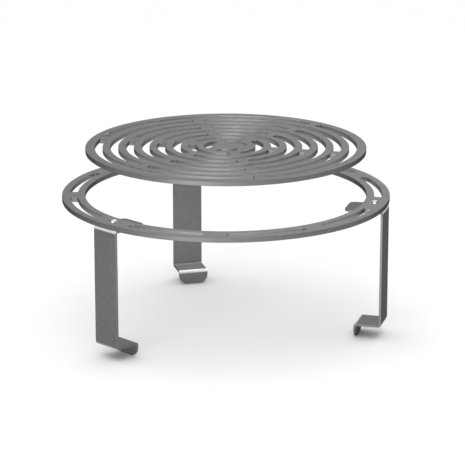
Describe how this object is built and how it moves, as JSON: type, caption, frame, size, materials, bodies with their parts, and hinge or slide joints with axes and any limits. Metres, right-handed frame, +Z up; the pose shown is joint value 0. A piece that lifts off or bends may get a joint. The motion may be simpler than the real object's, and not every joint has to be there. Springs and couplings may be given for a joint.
{
  "type": "burner stand",
  "caption": "Low round steel stand for a gas burner: a slotted plate lifts out of a slotted ring carried on bent strip legs.",
  "frame": {"origin": "on the stand's vertical axis at floor level, under the middle of the ring", "axes": "+Z up along the axis of the plate and ring, +Y towards the back leg, +X to the right seen from the front"},
  "size_m": [0.4219, 0.422, 0.238],
  "materials": {
    "plate_steel": "satin mill finish, laser-cut edges",
    "ring_steel": "satin mill finish, laser-cut edges",
    "leg_steel": "satin mill finish, brighter along the bends",
    "plated_steel": "bright plating on the screws, washers and nuts"
  },
  "bodies": {
    "stand": {"support_ring": "ring_steel", "leg_back": "leg_steel", "leg_left": "leg_steel", "leg_right": "leg_steel", "leg_screws": "plated_steel", "leg_washers": "plated_steel", "leg_nuts": "plated_steel"},
    "plate": {"lift_out_plate": "plate_steel"}
  },
  "joints": [
    {"name": "plate_lift", "type": "slide", "parent": "stand", "child": "plate", "axis": [0, 0, 1], "range_m": [-0.0618, 0.06]}
  ]
}
